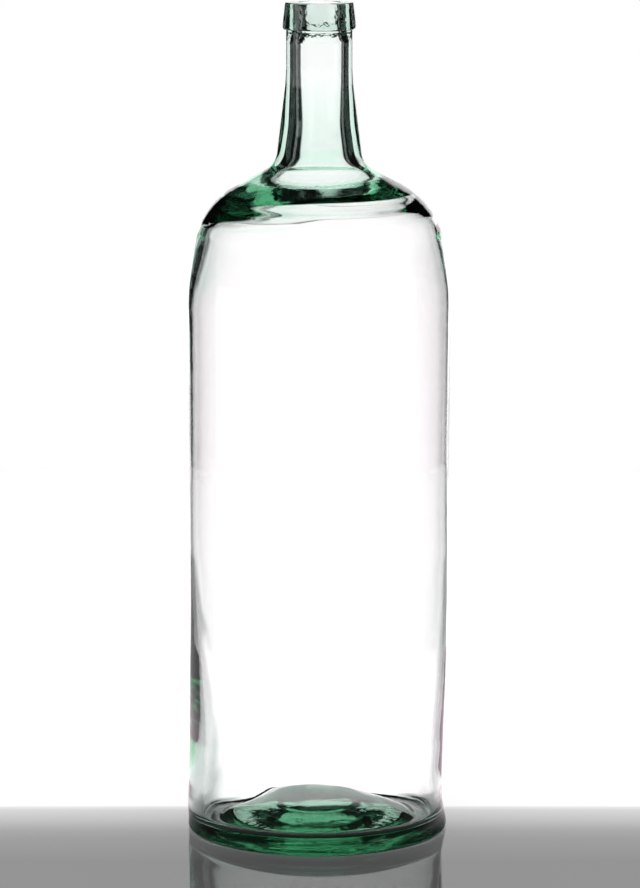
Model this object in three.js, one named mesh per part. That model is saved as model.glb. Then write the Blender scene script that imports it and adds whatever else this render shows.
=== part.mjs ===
// A five-litre bottle with a cork mouth, free-blown in pale green glass.
// Millimetres, +Z up. It stands on z = 0, centred over the origin, and -Y is its front.
// It is two gathers of glass: the blown body, and the lip laid on hot round the end of its neck.
import * as THREE from "three";

// Outside
const height = 452;
const heelRadius = 71.2;
const heelRounding = 2;
const footRadius = 69.9; // narrowest, just above the heel
const footHeight = 16;
const footRounding = 250;
const bodyRadius = 71.3; // widest, where the wall starts to lean in
const shoulderRise = 45.4; // from there up to the corner between the leaning wall and the crown
const shoulderBreakRounding = 90;
const shoulderRadius = 64.4;
const shoulderRounding = 45;
const crownRise = 22; // from that corner up to the foot of the neck
const neckLength = 86.6; // from its foot up to the mouth
const neckFootRadius = 23.6;
const neckFootRounding = 11;
const neckTaperLength = 46.6; // straight above this
const neckTaperRounding = 70;
const neckRadius = 17.9;
const lean = 2.2; // the foot was blown this far out of line, towards -X
const leanHeight = 140; // true above this
const heelReturn = 1.05; // but the heel itself comes back by this, which leaves a bead at +X
const heelReturnHeight = 14;

// Mouth
const mouthBoreRadius = 10.7;
const mouthBoreLength = 13; // the plug of the lip tool kept this stretch narrow
const mouthRounding = 1.5;
const lipSeatRadius = 15.2; // the neck inside the lip
const lipHeight = 14.6;
const lipTopRadius = 18.4;
const lipTopRounding = 0.8;
const lipRadius = 19.75; // widest
const lipWidestDrop = 11.5; // from the mouth down to the widest line
const lipFootRounding = 1.8;
const lipClearance = 0.3;
const lipSag = 0.5; // its lower edge wanders up and down by this much

// Inside
const neckBoreRadius = 12.9;
const boreFlare = 8; // length over which the bore opens out below the mouth
const boreShift = 0.2; // the bore runs out of true, towards +X
const boreTaperLength = 19.6; // it widens over this much, down to the foot of the neck
const boreTaperRounding = 60;
// The crown inside, from the foot of the bore out to the shoulder: the radius of each corner, how
// far it lies below the neck's foot, and its rounding. It is flatter than the skin above it.
const crownInside = [
  [15, -2.6, 20],
  [27, 11.2, 20],
  [33.5, 14.2, 10],
  [47, 18.9, 6],
  [61.7, 29, 45],
];
const crownSag = 2.6; // the crown inside hangs lower by this on its -X side
const sagStart = 10; // from this X
const sagEnd = -55; // fully at this one
const wall = 2.2;
const footWall = 6;
const footWallHeight = 36; // as thick as that below this
const thinWallHeight = 128; // and as thin as the rest above this
const wallRounding = 900;
const cavityLean = 1.2; // the inside follows the lean of the foot only this far
const wallWander = 0.5; // the most that the inside strays from round on thin wall
const footWander = 1.2; // and on thick

// Base
const restRadius = 44; // flat from here out to the heel
const puntHeight = 3;
const puntPower = 4; // the underside is nearly flat, with a crease round its edge
const scarRadius = 19; // left where the iron was cracked off
const scarDepth = 0.5;
const scarEdge = 2.4;
const valleyRadius = 57.5; // lowest line of the floor inside
const valleyHeight = 5.6;
const innerHeelRounding = 6.4;
const floorHeight = 18.3; // middle of the floor inside
const floorPower = 2; // a cap, as on a shallow dome
const floorTilt = 0.04; // rise of the floor towards -Y, where the glass is thicker

// Facets
const sides = 52;
const arcStep = THREE.MathUtils.degToRad(14);
const wallStep = 48;
const floorStep = 4.5;

const neckFootHeight = height - neckLength;
const neckTaperHeight = neckFootHeight + neckTaperLength;
const shoulderHeight = neckFootHeight - crownRise;
const shoulderBreak = shoulderHeight - shoulderRise;

const glass = {
  color: 0xd9ebe0,
  roughness: 0.05,
  metalness: 0,
  transmission: 1,
  ior: 1.52,
  thickness: wall,
  attenuationColor: new THREE.Color(0.25, 0.62, 0.42),
  attenuationDistance: 25,
};

const { lerp, smoothstep } = THREE.MathUtils;

// An outline through corners given as [radius, height, rounding]. A rounding is drawn as an arc,
// and takes up no more than half of either side of its corner.
function outlineOf(corners) {
  const at = corners.map(([radius, z]) => new THREE.Vector2(radius, z));
  return corners.flatMap(([, , rounding], i) => {
    const corner = at[i];
    if (!rounding) return [corner];
    const back = at[i - 1].clone().sub(corner);
    const on = at[i + 1].clone().sub(corner);
    const turn = Math.PI - Math.abs(back.angleTo(on));
    const longest = Math.min(back.length(), on.length()) / 2;
    const reach = Math.min(rounding * Math.tan(turn / 2), longest);
    const start = corner.clone().add(back.setLength(reach));
    const end = corner.clone().add(on.setLength(reach));
    const middle = corner.clone().add(back.add(on).setLength(reach / Math.sin(turn / 2)));
    const side = Math.sign(start.clone().sub(middle).cross(end.clone().sub(middle)));
    const steps = Math.ceil(turn / arcStep);
    return Array.from({ length: steps + 1 }, (_, k) =>
      start.clone().rotateAround(middle, (side * turn * k) / steps),
    );
  });
}

// The same outline with points added, so that no chord is longer than a step.
function divided(outline, step) {
  return outline.flatMap((point, i) => {
    if (i === 0) return [point];
    const from = outline[i - 1];
    const parts = Math.ceil(from.distanceTo(point) / step);
    return Array.from({ length: parts }, (_, k) => from.clone().lerp(point, (k + 1) / parts));
  });
}

// A dome over a circle, from its middle out to its edge. The higher the power, the flatter its middle.
function domeOf(rise, edgeRadius, edgeHeight, power) {
  const steps = Math.ceil(edgeRadius / floorStep);
  return Array.from({ length: steps + 1 }, (_, k) => {
    const share = k / steps;
    return new THREE.Vector2(edgeRadius * share, edgeHeight + rise * (1 - share ** power));
  });
}

// The underside: a flat rest, the push-up inside it, and the scar sunk in its middle.
function undersideOutline() {
  const punt = domeOf(puntHeight, restRadius, 0, puntPower);
  const heightAt = (radius) => puntHeight * (1 - (radius / restRadius) ** puntPower);
  const inner = scarRadius - scarEdge / 2;
  const outer = scarRadius + scarEdge / 2;
  return [
    ...punt.filter(({ x }) => x < inner).map(({ x, y }) => new THREE.Vector2(x, y - scarDepth)),
    new THREE.Vector2(inner, heightAt(inner) - scarDepth),
    new THREE.Vector2(outer, heightAt(outer)),
    ...punt.filter(({ x }) => x > outer),
  ];
}

// Turns an outline about the Z axis, and moves each point of the turned surface as told.
// move(point, index) is given the point and its place in the outline.
function turned(outline, move) {
  const geometry = new THREE.LatheGeometry(outline, sides).rotateX(Math.PI / 2);
  const position = geometry.getAttribute("position");
  const point = new THREE.Vector3();
  for (let i = 0; i < position.count; i++) {
    move(point.fromBufferAttribute(position, i), i % outline.length);
    position.setXYZ(i, ...point);
  }
  geometry.computeVertexNormals();
  return geometry;
}

function outsideOutline() {
  const skin = outlineOf([
    [restRadius, 0],
    [heelRadius, 0, heelRounding],
    [footRadius, footHeight, footRounding],
    [bodyRadius, shoulderBreak, shoulderBreakRounding],
    [shoulderRadius, shoulderHeight, shoulderRounding],
    [neckFootRadius, neckFootHeight, neckFootRounding],
    [neckRadius, neckTaperHeight, neckTaperRounding],
    [neckRadius, height - lipHeight],
    [lipSeatRadius, height - lipHeight],
    [lipSeatRadius, height],
  ]);
  return divided(skin, wallStep);
}

function insideOutline() {
  const boreEnd = height - mouthBoreLength;
  const skin = outlineOf([
    [lipSeatRadius, height],
    [mouthBoreRadius, height, mouthRounding],
    [mouthBoreRadius, boreEnd, boreFlare],
    [neckBoreRadius, boreEnd - boreFlare, boreFlare],
    [neckBoreRadius, neckFootHeight + boreTaperLength, boreTaperRounding],
    ...crownInside.map(([radius, drop, rounding]) => [radius, neckFootHeight - drop, rounding]),
    [bodyRadius - wall, shoulderBreak, shoulderBreakRounding],
    [bodyRadius - wall, thinWallHeight, wallRounding],
    [footRadius - footWall, footWallHeight, wallRounding],
    [footRadius - footWall, valleyHeight, innerHeelRounding],
    [valleyRadius, valleyHeight],
  ]);
  return divided(skin.slice(1), wallStep);
}

// How far the inside of the wall stands in from round, as it does in blown glass.
function wander(point) {
  const angle = Math.atan2(point.y, point.x);
  const waves = Math.sin(2 * angle + point.z / 47) + Math.sin(3 * angle - point.z / 31 + 1);
  const most = lerp(footWander, wallWander, smoothstep(point.z, footWallHeight, thinWallHeight));
  return (most * (2 + waves)) / 4;
}

function blownBody() {
  const outside = [...undersideOutline().slice(0, -1), ...outsideOutline()];
  const floor = domeOf(floorHeight - valleyHeight, valleyRadius, valleyHeight, floorPower);
  const inside = [...insideOutline().slice(0, -1), ...floor.reverse()];
  const geometry = turned([...outside, ...inside], (point, index) => {
    const low = 1 - smoothstep(point.z, 0, leanHeight);
    if (index < outside.length) {
      const lowest = 1 - smoothstep(point.z, heelRounding, heelReturnHeight);
      point.x -= lean * low - heelReturn * lowest;
      return;
    }
    const onWall = smoothstep(point.z, floorHeight, footWallHeight);
    const onShoulder = smoothstep(point.z, shoulderBreak, shoulderHeight);
    const onNeck = smoothstep(point.z, neckFootHeight, neckTaperHeight);
    const shrink = 1 - (wander(point) * onWall * (1 - onShoulder)) / bodyRadius;
    const shift = boreShift * smoothstep(point.z, shoulderHeight, neckFootHeight);
    const sag = crownSag * (1 - smoothstep(point.x, sagEnd, sagStart)) * onShoulder * (1 - onNeck);
    point.z -= sag + floorTilt * point.y * (1 - onWall);
    point.x = point.x * shrink + shift - cavityLean * low;
    point.y *= shrink;
  });
  return new THREE.Mesh(geometry, new THREE.MeshPhysicalMaterial(glass));
}

// The lip has its own height measured down from the mouth.
function appliedLip() {
  const boreRadius = lipSeatRadius + lipClearance;
  const foot = lipClearance - lipHeight;
  const outline = outlineOf([
    [boreRadius, foot],
    [lipRadius, foot, lipFootRounding],
    [lipRadius, -lipWidestDrop, lipHeight],
    [lipTopRadius, 0, lipTopRounding],
    [boreRadius, 0],
    [boreRadius, foot],
  ]);
  const geometry = turned(outline, (point) => {
    const angle = Math.atan2(point.y, point.x);
    const outer = smoothstep(Math.hypot(point.x, point.y), neckRadius, lipRadius);
    const low = 1 - smoothstep(point.z, -lipWidestDrop, 0);
    point.z += (lipSag * outer * low * (Math.sin(angle) + Math.sin(3 * angle + 1))) / 2;
  });
  return new THREE.Mesh(geometry, new THREE.MeshPhysicalMaterial(glass));
}

const body = blownBody();
body.name = "blown_body";

const lip = appliedLip();
lip.name = "applied_lip";
lip.position.z = height;

const bottle = new THREE.Group();
bottle.add(body, lip);
bottle.position.x = (lean - heelReturn + heelRadius - bodyRadius) / 2;

export default bottle;
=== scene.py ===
"""A free-blown bottle of pale green glass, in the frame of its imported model. Metres, +Z up."""

import math

import bmesh
import bpy
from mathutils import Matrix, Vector


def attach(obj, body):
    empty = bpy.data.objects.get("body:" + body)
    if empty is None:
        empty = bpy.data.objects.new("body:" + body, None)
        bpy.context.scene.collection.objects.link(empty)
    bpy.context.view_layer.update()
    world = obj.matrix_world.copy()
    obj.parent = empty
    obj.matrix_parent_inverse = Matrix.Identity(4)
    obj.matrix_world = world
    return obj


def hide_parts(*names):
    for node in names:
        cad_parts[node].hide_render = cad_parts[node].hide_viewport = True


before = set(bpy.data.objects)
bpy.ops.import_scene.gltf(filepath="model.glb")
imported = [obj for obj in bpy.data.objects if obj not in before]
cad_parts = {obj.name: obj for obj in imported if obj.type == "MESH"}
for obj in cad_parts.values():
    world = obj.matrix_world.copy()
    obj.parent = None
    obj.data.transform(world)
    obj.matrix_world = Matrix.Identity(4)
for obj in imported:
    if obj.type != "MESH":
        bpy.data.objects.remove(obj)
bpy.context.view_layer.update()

mm = 0.001
white = (1, 1, 1, 1)

# Outside
height = 452 * mm
heel_radius = 71.2 * mm
heel_rounding = 2 * mm
foot_radius = 69.9 * mm
foot_height = 16 * mm
foot_rounding = 250 * mm
body_radius = 71.3 * mm
shoulder_rise = 45.4 * mm
shoulder_break_rounding = 90 * mm
shoulder_radius = 64.4 * mm
shoulder_rounding = 45 * mm
crown_rise = 22 * mm
neck_length = 86.6 * mm
neck_foot_radius = 23.6 * mm
neck_foot_rounding = 11 * mm
neck_taper_length = 46.6 * mm
neck_taper_rounding = 70 * mm
neck_radius = 17.9 * mm
lean = 2.2 * mm
lean_height = 140 * mm
heel_return = 1.05 * mm
heel_return_height = 14 * mm

# Mouth
mouth_bore_radius = 10.7 * mm
mouth_bore_length = 13 * mm
mouth_rounding = 1.5 * mm
lip_seat_radius = 15.2 * mm
lip_height = 14.6 * mm
lip_top_radius = 18.4 * mm
lip_top_rounding = 0.8 * mm
lip_radius = 19.75 * mm
lip_widest_drop = 11.5 * mm
lip_foot_rounding = 1.8 * mm
lip_sag = 0.5 * mm
weld = 0.08 * mm

# Inside
neck_bore_radius = 12.9 * mm
bore_flare = 8 * mm
bore_shift = 0.2 * mm
bore_taper_length = 19.6 * mm
bore_taper_rounding = 60 * mm
wall = 2.2 * mm
foot_wall = 6 * mm
foot_wall_height = 36 * mm
thin_wall_height = 128 * mm
wall_rounding = 900 * mm
cavity_lean = 1.2 * mm
wall_wander = 0.5 * mm
foot_wander = 1.2 * mm

# The crown inside: the radius of each corner, its drop below the neck's foot, and its rounding
crown_inside = (
    (15 * mm, -2.6 * mm, 20 * mm),
    (27 * mm, 11.2 * mm, 20 * mm),
    (33.5 * mm, 14.2 * mm, 10 * mm),
    (47 * mm, 18.9 * mm, 6 * mm),
    (61.7 * mm, 29 * mm, 45 * mm),
)
crown_sag = 2.6 * mm  # it hangs lower on its left, fully so at the first X
sag_x = (-55 * mm, 10 * mm)
crown_skew = 0.8 * mm
skew_azimuth = -0.7
skew_in = 22 * mm
skew_out = 60 * mm

# The left haunch of the shoulder is thicker, between these heights and up to these X
haunch_thickness = 1.0 * mm
haunch_foot = (285 * mm, 312 * mm)
haunch_top = (338 * mm, 352 * mm)
haunch_x = (-66 * mm, -30 * mm)

# Waves of the inside round and along the wall
wander_lengths = (47 * mm, 31 * mm)

# Base
rest_radius = 44 * mm
punt_height = 3 * mm
punt_power = 4
scar_radius = 19 * mm
scar_height = 0.5 * mm
scar_edge = 1.2 * mm
valley_radius = 54 * mm
valley_height = 5.6 * mm
floor_tilt = 0.04
inner_heel_rounding = 6.4 * mm
floor_height = 17.8 * mm
floor_power = 2.6
ripple_radii = (24 * mm, 39 * mm)
ripple_height = 0.15 * mm
ring_width = 12 * mm

neck_foot_height = height - neck_length
neck_taper_height = neck_foot_height + neck_taper_length
shoulder_height = neck_foot_height - crown_rise
shoulder_break = shoulder_height - shoulder_rise
middle_x = (lean - heel_return + heel_radius - body_radius) / 2

# Fineness of the meshes
sides = 144
arc_step = math.radians(7)
neck_step = 1.2 * mm
shoulder_step = 1.5 * mm
base_step = 1.4 * mm
wall_step = 2.6 * mm
lip_step = 0.9 * mm
tiny = 0.1 * mm

# Skin: a slow wave all over and a fine crizzle in three zones. Each zone fades between two heights
# or radii.
wave_scale = 60.0
wave_height = 0.03 * mm
base_wave = 0.25 * mm
crizzle_scale = 300.0
crown_crizzle = 0.05 * mm
crown_zone_foot = (342.5 * mm, 345.5 * mm)
crown_zone_top = (354.5 * mm, 357 * mm)
crown_zone_edge = (43 * mm, 47 * mm)
bore_crizzle = 0.30 * mm
bore_zone_foot = (427 * mm, 434 * mm)
bore_zone_edge = (13.5 * mm, 14.5 * mm)
base_crizzle = 0.05 * mm
base_zone_top = (18 * mm, 22 * mm)
base_zone_edge = (50 * mm, 60 * mm)

# Glass: it takes more light away with depth, least of all green
refraction = 1.52
depth_colour = (0.375, 0.75, 0.575, 1)
depth_density = 40.0


def lerp(low, high, share):
    return low + (high - low) * share


def smoothstep(value, low, high):
    share = min(1, max(0, (value - low) / (high - low)))
    return share * share * (3 - 2 * share)


def draw(bm, pen, target):
    """Draws a straight line from the pen to a target, and returns the pen's new place."""
    pen = bmesh.ops.extrude_vert_indiv(bm, verts=[pen])["verts"][0]
    pen.co = target
    return pen


def draw_outline(bm, corners):
    """Draws half of a section through corners given as (radius, height, rounding)."""
    at = [Vector((radius, 0, z)) for radius, z, _ in corners]
    pen = bm.verts.new(at[0])
    for i, (_, _, rounding) in enumerate(corners):
        if i == 0:
            continue
        if not rounding:
            pen = draw(bm, pen, at[i])
            continue
        back = at[i - 1] - at[i]
        on = at[i + 1] - at[i]
        turn = math.pi - back.angle(on)
        reach = min(rounding * math.tan(turn / 2), back.length / 2, on.length / 2)
        pen = draw(bm, pen, at[i] + back.normalized() * reach)
        across = (back.normalized() + on.normalized()).normalized()
        middle = at[i] + across * (reach / math.sin(turn / 2))
        arc = bmesh.ops.spin(
            bm,
            geom=[pen],
            cent=middle,
            axis=back.cross(on).normalized() * -1,
            angle=turn,
            steps=math.ceil(turn / arc_step),
        )
        pen = next(v for v in arc["geom_last"] if isinstance(v, bmesh.types.BMVert))


def divide(bm, step_at):
    """Divides every edge of an outline that is longer than the step at its middle."""
    for edge in bm.edges[:]:
        middle = (edge.verts[0].co + edge.verts[1].co) / 2
        cuts = math.ceil(edge.calc_length() / step_at(middle)) - 1
        if cuts > 0:
            bmesh.ops.subdivide_edges(bm, edges=[edge], cuts=cuts)


def turn_outline(bm):
    bmesh.ops.spin(
        bm,
        geom=bm.verts[:] + bm.edges[:],
        cent=(0, 0, 0),
        axis=(0, 0, 1),
        angle=math.tau,
        steps=sides,
        use_merge=True,
    )
    bmesh.ops.remove_doubles(bm, verts=bm.verts[:], dist=0.01 * mm)
    bmesh.ops.recalc_face_normals(bm, faces=bm.faces[:])


def finished(bm, name, material):
    """Makes an object of a mesh, smooth all over."""
    for face in bm.faces:
        face.smooth = True
    mesh = bpy.data.meshes.new(name)
    bm.to_mesh(mesh)
    bm.free()
    mesh.materials.append(material)
    piece = bpy.data.objects.new(name, mesh)
    bpy.context.collection.objects.link(piece)
    return piece


class Socket:
    """An output of a node, with the operators that shader maths is written in."""

    def __init__(self, graph, output):
        self.graph = graph
        self.output = output

    def __add__(self, other):
        return self.graph.maths("ADD", self, other)

    def __sub__(self, other):
        return self.graph.maths("SUBTRACT", self, other)

    def __rsub__(self, other):
        return self.graph.maths("SUBTRACT", other, self)

    def __mul__(self, other):
        return self.graph.maths("MULTIPLY", self, other)

    def __truediv__(self, other):
        return self.graph.maths("DIVIDE", self, other)

    __radd__ = __add__
    __rmul__ = __mul__


class Graph:
    """The nodes of a material or of the world."""

    def __init__(self, owner):
        owner.use_nodes = True
        self.tree = owner.node_tree
        self.tree.nodes.clear()

    def node(self, kind, settings=None, sockets=None, output=0):
        """Adds a node: its settings first, then the values or links of its sockets."""
        node = self.tree.nodes.new("ShaderNode" + kind)
        for name, value in (settings or {}).items():
            if name == "stops":
                ramp = node.color_ramp.elements
                for _ in value[2:]:
                    ramp.new(0.5)
                for stop, (place, grey) in zip(ramp, value):
                    stop.position = place
                    stop.color = (grey, grey, grey, 1)
            else:
                setattr(node, name, value)
        for key, value in (sockets or {}).items():
            if isinstance(value, Socket):
                self.tree.links.new(value.output, node.inputs[key])
            else:
                node.inputs[key].default_value = value
        return Socket(self, node.outputs[output]) if node.outputs else None

    def maths(self, operation, *values):
        return self.node("Math", {"operation": operation}, dict(enumerate(values)))

    def parts(self, vector):
        node = self.node("SeparateXYZ", {}, {"Vector": vector}).output.node
        return [Socket(self, part) for part in node.outputs]

    def ray(self, kind):
        node = self.node("LightPath").output.node
        return Socket(self, node.outputs[kind])

    def ramp(self, value, low, high):
        """Goes smoothly from 0 to 1 as the value goes from low to high."""
        return self.node(
            "MapRange",
            {"interpolation_type": "SMOOTHSTEP"},
            {"Value": value, "From Min": low, "From Max": high},
        )


def glass(name):
    """Clear glass with a faint green in its depth, and a skin that is a little wavy."""
    material = bpy.data.materials.new(name)
    graph = Graph(material)
    place = graph.node("TexCoord", output="Object")
    wave = graph.node(
        "TexNoise", {}, {"Vector": place, "Scale": wave_scale, "Detail": 3.0, "Roughness": 0.5}
    )
    x, y, z = graph.parts(place)
    radius = graph.maths("SQRT", x * x + y * y)
    fine = graph.node("TexNoise", {}, {"Vector": place, "Scale": crizzle_scale, "Detail": 2.0})
    crown = (
        graph.ramp(z, *crown_zone_foot)
        * (1 - graph.ramp(z, *crown_zone_top))
        * (1 - graph.ramp(radius, *crown_zone_edge))
    )
    bore = graph.ramp(z, *bore_zone_foot) * (1 - graph.ramp(radius, *bore_zone_edge))
    base = (1 - graph.ramp(z, *base_zone_top)) * (1 - graph.ramp(radius, *base_zone_edge))
    crizzle = crown * crown_crizzle + bore * bore_crizzle + base * base_crizzle
    swell = wave_height + base * base_wave
    skin = graph.node(
        "Bump",
        {},
        {"Strength": 1.0, "Distance": 1.0, "Height": wave * swell + fine * crizzle},
    )
    shader = graph.node(
        "BsdfPrincipled",
        {},
        {
            "Base Color": white,
            "Roughness": 0.0,
            "IOR": refraction,
            "Transmission Weight": 1.0,
            "Normal": skin,
        },
    )
    depth = graph.node(
        "VolumeAbsorption", {}, {"Color": depth_colour, "Density": depth_density}
    )
    graph.node("OutputMaterial", {}, {"Surface": shader, "Volume": depth})
    return material


def profile_of_body():
    bore_end = height - mouth_bore_length
    outside = [
        (0, 0, 0),
        (rest_radius, 0, 0),
        (heel_radius, 0, heel_rounding),
        (foot_radius, foot_height, foot_rounding),
        (body_radius, shoulder_break, shoulder_break_rounding),
        (shoulder_radius, shoulder_height, shoulder_rounding),
        (neck_foot_radius, neck_foot_height, neck_foot_rounding),
        (neck_radius, neck_taper_height, neck_taper_rounding),
        (neck_radius, height - lip_height, 0),
        (lip_seat_radius, height - lip_height, 0),
        (lip_seat_radius, height, 0),
    ]
    inside = [
        (mouth_bore_radius, height, mouth_rounding),
        (mouth_bore_radius, bore_end, bore_flare),
        (neck_bore_radius, bore_end - bore_flare, bore_flare),
        (neck_bore_radius, neck_foot_height + bore_taper_length, bore_taper_rounding),
        *((radius, neck_foot_height - drop, rounding) for radius, drop, rounding in crown_inside),
        (body_radius - wall, shoulder_break, shoulder_break_rounding),
        (body_radius - wall, thin_wall_height, wall_rounding),
        (foot_radius - foot_wall, foot_wall_height, wall_rounding),
        (foot_radius - foot_wall, valley_height, inner_heel_rounding),
        (valley_radius, valley_height, 0),
        (0, valley_height, 0),
    ]
    return outside, inside


def dome(radius, edge_radius, rise, power):
    """Height of a dome over its edge: the higher the power, the flatter its middle."""
    share = min(1, radius / edge_radius)
    return rise * (1 - share**power)


def ring(radius, middle, breadth):
    """A rounded ridge of height 1 round the axis."""
    off = min(1, abs(radius - middle) / (breadth / 2))
    return (1 + math.cos(math.pi * off)) / 2


def wander(angle, z):
    """How far the inside of the wall stands in from round, as it does in blown glass."""
    long, short = wander_lengths
    waves = math.sin(2 * angle + z / long) + math.sin(3 * angle - z / short + 1)
    most = lerp(foot_wander, wall_wander, smoothstep(z, foot_wall_height, thin_wall_height))
    return most * (2 + waves) / 4


def shape_outside(point):
    radius = math.hypot(point.x, point.y)
    if radius < rest_radius and point.z < tiny:
        scar = 1 - smoothstep(radius, scar_radius - scar_edge, scar_radius + scar_edge)
        point.z += dome(radius, rest_radius, punt_height, punt_power) - scar_height * scar
    low = 1 - smoothstep(point.z, 0, lean_height)
    lowest = 1 - smoothstep(point.z, heel_rounding, heel_return_height)
    point.x -= lean * low - heel_return * lowest


def shape_inside(point):
    radius = math.hypot(point.x, point.y)
    angle = math.atan2(point.y, point.x)
    if radius < valley_radius and point.z < valley_height + tiny:
        point.z += dome(radius, valley_radius, floor_height - valley_height, floor_power)
        point.z += sum(ripple_height * ring(radius, at, ring_width) for at in ripple_radii)
    low = 1 - smoothstep(point.z, 0, lean_height)
    on_wall = smoothstep(point.z, floor_height, foot_wall_height)
    on_shoulder = smoothstep(point.z, shoulder_break, shoulder_height)
    on_neck = smoothstep(point.z, neck_foot_height, neck_taper_height)
    middle = (skew_in + skew_out) / 2
    lump = smoothstep(radius, skew_in, middle) * (1 - smoothstep(radius, middle, skew_out))
    skew = crown_skew * lump * math.cos(angle - skew_azimuth)
    shrink = 1 - wander(angle, point.z) * on_wall * (1 - on_shoulder) / body_radius
    shift = bore_shift * smoothstep(point.z, shoulder_height, neck_foot_height)
    point.z -= floor_tilt * point.y * (1 - on_wall)
    sag = crown_sag * (1 - smoothstep(point.x, *sag_x))
    point.z += (skew - sag) * on_shoulder * (1 - on_neck)
    haunch = smoothstep(point.z, *haunch_foot) * (1 - smoothstep(point.z, *haunch_top))
    shift += haunch_thickness * haunch * (1 - smoothstep(point.x, *haunch_x))
    point.x = point.x * shrink + shift - cavity_lean * low
    point.y *= shrink


def walk(vert):
    """The vertices of an open outline in order from one end."""
    chain = [vert]
    seen = {vert}
    while True:
        following = [
            e.other_vert(chain[-1])
            for e in chain[-1].link_edges
            if e.other_vert(chain[-1]) not in seen
        ]
        if not following:
            return chain
        chain.append(following[0])
        seen.add(following[0])


def body_step(middle):
    if middle.z > neck_taper_height:
        return neck_step
    if middle.z > shoulder_break:
        return shoulder_step
    if middle.z < foot_wall_height:
        return base_step
    return wall_step


def blown_body(material):
    bm = bmesh.new()
    side = bm.verts.layers.float.new("inside")
    outside, inside = profile_of_body()
    draw_outline(bm, outside + inside)
    bm.verts.ensure_lookup_table()
    chain = walk(bm.verts[0])
    mouth = max(i for i, v in enumerate(chain) if abs(v.co.x - lip_seat_radius) < 1e-6)
    for i, vert in enumerate(chain):
        vert[side] = float(i > mouth)
    divide(bm, body_step)
    turn_outline(bm)
    for vert in bm.verts:
        point = vert.co.copy()
        (shape_inside if vert[side] > 0.01 else shape_outside)(point)
        point.x += middle_x
        vert.co = point
    return finished(bm, "glass_body", material)


def laid_on_lip(material):
    bm = bmesh.new()
    foot = height - lip_height - weld
    seat = lip_seat_radius - weld
    outline = [
        (seat, foot, 0),
        (lip_radius, foot, lip_foot_rounding),
        (lip_radius, height - lip_widest_drop, lip_height),
        (lip_top_radius, height, lip_top_rounding),
        (seat, height, 0),
        (seat, foot, 0),
    ]
    draw_outline(bm, outline)
    divide(bm, lambda middle: lip_step)
    turn_outline(bm)
    for vert in bm.verts:
        x, y, z = vert.co
        angle = math.atan2(y, x)
        outer = smoothstep(math.hypot(x, y), neck_radius, lip_radius)
        low = 1 - smoothstep(z, height - lip_widest_drop, height)
        vert.co.z += lip_sag * outer * low * (math.sin(angle) + math.sin(3 * angle + 1)) / 2
        vert.co.x += middle_x
    return finished(bm, "glass_lip", material)


# Panels of light that the glass sees: azimuths from left to right, and the lowest and highest
# elevation, in degrees. A panel without a highest one is an arched sheet from panel_foot up.
panels = ((-18, 24, None, None), (-102, -78, -12, 3), (123, 147, None, -10.5))
soft = 2
panel_foot = -8
panel_rise = 36
arch_edge = (0.9, 1.1)
fade = (16, 30)

# Light of the panels by elevation
foot_light = 1.31
middle_light = 1.27
middle_from = (-8, -3.5)
dark = 0.006
fill = 0.2

# Colour of the light, by elevation, and of the floor's painted glow beside the bottle, which only
# the glass sees
warmth = (1.13, 1.0, 1.06, 1)
cool = (1.02, 1.0, 1.01, 1)
cool_from = (-2.5, 2)
high_warmth = (1.16, 1.0, 1.06, 1)
high_from = (6, 12)
beside_warmth = (1.3, 1.0, 1.14, 1)

# Floor: a pool of painted shade round the bottle, grey and darkest in front, which brightens to
# white behind it
floor_reach = 1.2
floor_drop = 0.02 * mm
shadow_pool_middle = (0, -0.03, 0)
shadow_pool_edge = (0.22, 0.55)
shadow_grey_start = -0.080
shadow_grey_length = 0.120
shadow_greys = (
    (0.0, 0.262),
    (0.40, 0.315),
    (0.55, 0.37),
    (0.73, 0.528),
    (0.92, 0.67),
    (0.985, 0.83),
    (0.996, 1.0),
)
shine_strength = 0.17
shine_grey = 1.07
shine_fade = (-0.03, 0.035)
shine_roughness = 0.02
glow = 0.7
paint = 0.3

# Light of the floor by place: in front, beside, far off, and under the base, where a narrow strip
# at the back is lit and the rest is dark
camera_gain = 1.09
front_level = 0.3
beside_level = 0.8
beside_rise = (0, 0.05)
far_from = (0.25, 0.45)
far_level = 1.38
far_least = 0.12
under_edge = (0.058, 0.066)
under_light = 0.8
under_dark = 0.05
under_from = (0.01, 0.03)
under_half = 0.007
under_soft = 0.0015

# Painted light: a strip of floor that glows brighter for the glass only, not for the camera, and
# runs back from the bottle and widens
lit_strip_level = 1.95
lit_strip_from = (0.045, 0.06)
lit_strip_left = 0.05
lit_strip_left_slope = 0.30
lit_strip_right = 0.08
lit_strip_right_slope = 0.25
lit_strip_soft = 0.015

camera_place = (0.0009, -2.19, 0.570)
camera_pitch = math.radians(80.73)
lens = 165.37


def mixed(graph, share, first, second):
    """The first colour at share 0, and the second at share 1."""
    sockets = {0: share, 6: first, 7: second}
    return graph.node("Mix", {"data_type": "RGBA"}, sockets, output=2)


def sectors(graph, azimuth, elevation=None):
    """Light of the panels round the bottle, by the direction in degrees in which they stand.

    Azimuth goes from +Y towards +X. Without an elevation it is the light on the floor there."""
    light = 0.0
    for left, right, low, high in panels:
        if elevation is not None and high is None:
            across = (azimuth - (left + right) / 2) / ((right - left) / 2)
            up = graph.maths("MAXIMUM", elevation - panel_foot, 0) / panel_rise
            off = graph.maths("SQRT", across * across + up * up)
            arch = 1 - graph.ramp(off, *arch_edge)
            light = light + arch * (1 - graph.ramp(elevation, *fade))
            continue
        here = graph.ramp(azimuth, left - soft, left + soft) * (
            1 - graph.ramp(azimuth, right - soft, right + soft)
        )
        if elevation is not None:
            here = here * (1 - graph.ramp(elevation, high - 2, high + 2))
            if low is not None:
                here = here * graph.ramp(elevation, low - 1, low + 1)
        light = light + here
    return light


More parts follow.
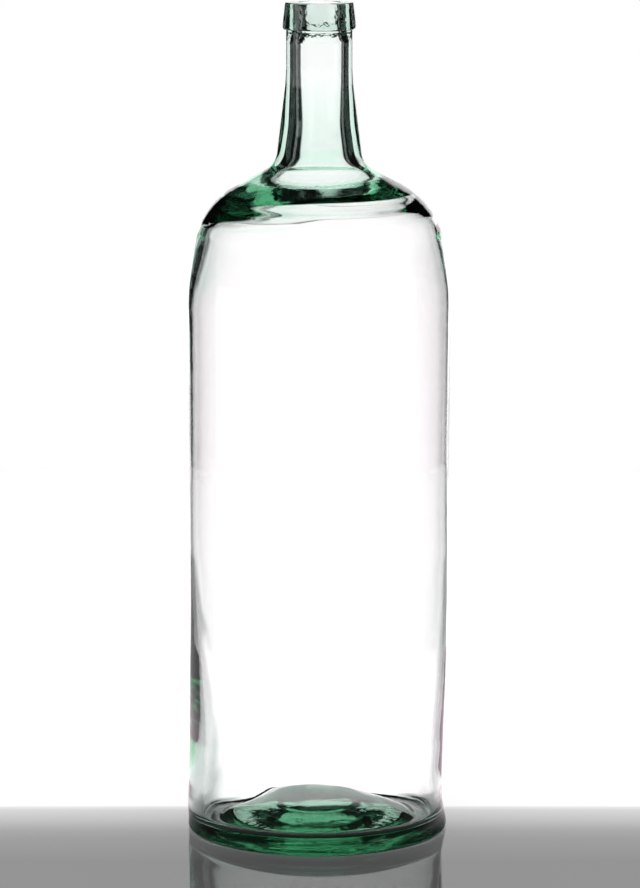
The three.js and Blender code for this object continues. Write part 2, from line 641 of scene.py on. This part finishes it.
def floor_material():
    material = bpy.data.materials.new("floor")
    graph = Graph(material)
    place = graph.node("TexCoord", output="Object")
    x, y, _ = graph.parts(place)
    reach = graph.node("VectorMath", {"operation": "LENGTH"}, {0: place}, output="Value")
    # Painted shade: a grey pool round the bottle, darker towards the front, in both the floor's
    # glow and its diffuse colour
    off = graph.node(
        "VectorMath", {"operation": "DISTANCE"}, {0: place, 1: shadow_pool_middle}, output="Value"
    )
    shadow_pool = 1 - graph.ramp(off, *shadow_pool_edge)
    grey = graph.node("ValToRGB", {"stops": shadow_greys}, {"Fac": (y - shadow_grey_start) / shadow_grey_length})
    shine = shine_strength * shadow_pool * (1 - graph.ramp(y, *shine_fade))
    shade = (1 - shadow_pool * (1 - grey) - shine_grey * shine) / (1 - shine)
    under = 1 - graph.ramp(reach, *under_edge)
    aside = graph.maths("ABSOLUTE", x)
    gathered = graph.ramp(y, *under_from) * (
        1 - graph.ramp(aside, under_half - under_soft, under_half + under_soft)
    )
    shade = shade * (1 - under * (1 - under_dark - (under_light - under_dark) * gathered))
    far = graph.ramp(reach, *far_from)
    azimuth = graph.maths("ARCTAN2", x, y) * (180 / math.pi)
    panel = far_least + far_level * graph.maths("MINIMUM", sectors(graph, azimuth), 1)
    # Painted light: the strip behind the bottle where the floor glows brighter for rays from the
    # glass
    left = x + lit_strip_left_slope * y + lit_strip_left
    right = x - lit_strip_right_slope * y - lit_strip_right
    lit_strip = (
        graph.ramp(y, *lit_strip_from)
        * (1 - far)
        * graph.ramp(left, -lit_strip_soft, lit_strip_soft)
        * (1 - graph.ramp(right, -lit_strip_soft, lit_strip_soft))
    )
    beside = front_level + (beside_level - front_level) * graph.ramp(y, *beside_rise)
    around = beside + far * (panel - beside)
    seen = graph.ray("Is Camera Ray")
    level = camera_gain * seen + (1 - seen) * (around + lit_strip * (lit_strip_level - around))
    tint = mixed(graph, far, beside_warmth, warmth)
    tint = mixed(graph, under, tint, white)
    colour = mixed(graph, seen, tint, white)
    lit = graph.node("Emission", {}, {"Color": colour, "Strength": shade * level * glow})
    painted = shade * paint
    grey_paint = graph.node("CombineColor", {}, {0: painted, 1: painted, 2: painted})
    matt = graph.node("BsdfDiffuse", {}, {"Color": grey_paint})
    both = graph.node("AddShader", {}, {0: lit, 1: matt})
    gloss = graph.node("BsdfAnisotropic", {}, {"Color": white, "Roughness": shine_roughness})
    surface = graph.node("MixShader", {}, {0: shine, 1: both, 2: gloss})
    graph.node("OutputMaterial", {}, {"Surface": surface})
    return material


def lay_floor():
    bm = bmesh.new()
    bmesh.ops.create_circle(bm, cap_ends=True, segments=96, radius=floor_reach)
    for vert in bm.verts:
        vert.co.z = -floor_drop
    floor = finished(bm, "floor", floor_material())


def light_world():
    world = bpy.data.worlds.new("surroundings")
    bpy.context.scene.world = world
    graph = Graph(world)
    x, y, z = graph.parts(graph.node("TexCoord", output="Generated"))
    azimuth = graph.maths("ARCTAN2", x, y) * (180 / math.pi)
    elevation = graph.maths("ARCSINE", z) * (180 / math.pi)
    level = foot_light + (middle_light - foot_light) * graph.ramp(elevation, *middle_from)
    light = dark + level * graph.maths("MINIMUM", sectors(graph, azimuth, elevation), 1)
    seen, spread = graph.ray("Is Camera Ray"), graph.ray("Is Diffuse Ray")
    strength = seen + (1 - seen) * (spread * fill + (1 - spread) * light)
    tint = mixed(graph, graph.ramp(elevation, *cool_from), warmth, cool)
    tint = mixed(graph, graph.ramp(elevation, *high_from), tint, high_warmth)
    plain = 1 - graph.ray("Is Transmission Ray")
    colour = mixed(graph, plain, tint, white)
    background = graph.node("Background", {}, {"Color": colour, "Strength": strength})
    graph.node("OutputWorld", {}, {"Surface": background})


def hang_lamp():
    light = bpy.data.lights.new("ceiling", "AREA")
    light.shape = "DISK"
    light.size = 1.6
    light.energy = 35
    lamp = bpy.data.objects.new("ceiling", light)
    lamp.location = (0, 0.3, 2)
    lamp.visible_glossy = False
    lamp.visible_transmission = False
    lamp.visible_camera = False
    bpy.context.collection.objects.link(lamp)


def set_camera():
    camera_data = bpy.data.cameras.new("camera")
    camera_data.lens = lens
    camera_data.sensor_width = 36
    camera_data.sensor_fit = "AUTO"
    camera_data.clip_start = 0.05
    camera_data.clip_end = 30
    camera = bpy.data.objects.new("camera", camera_data)
    camera.location = camera_place
    camera.rotation_euler = (camera_pitch, 0, 0)
    bpy.context.collection.objects.link(camera)
    bpy.context.scene.camera = camera


scene = bpy.context.scene
scene.view_settings.view_transform = "Standard"
scene.cycles.max_bounces = 32
scene.cycles.transmission_bounces = 32
scene.cycles.glossy_bounces = 16

set_camera()
lay_floor()
light_world()
hang_lamp()

body = blown_body(glass("body_glass"))
lip = laid_on_lip(glass("lip_glass"))
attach(body, "root")
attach(lip, "root")
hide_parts("blown_body")
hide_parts("applied_lip")
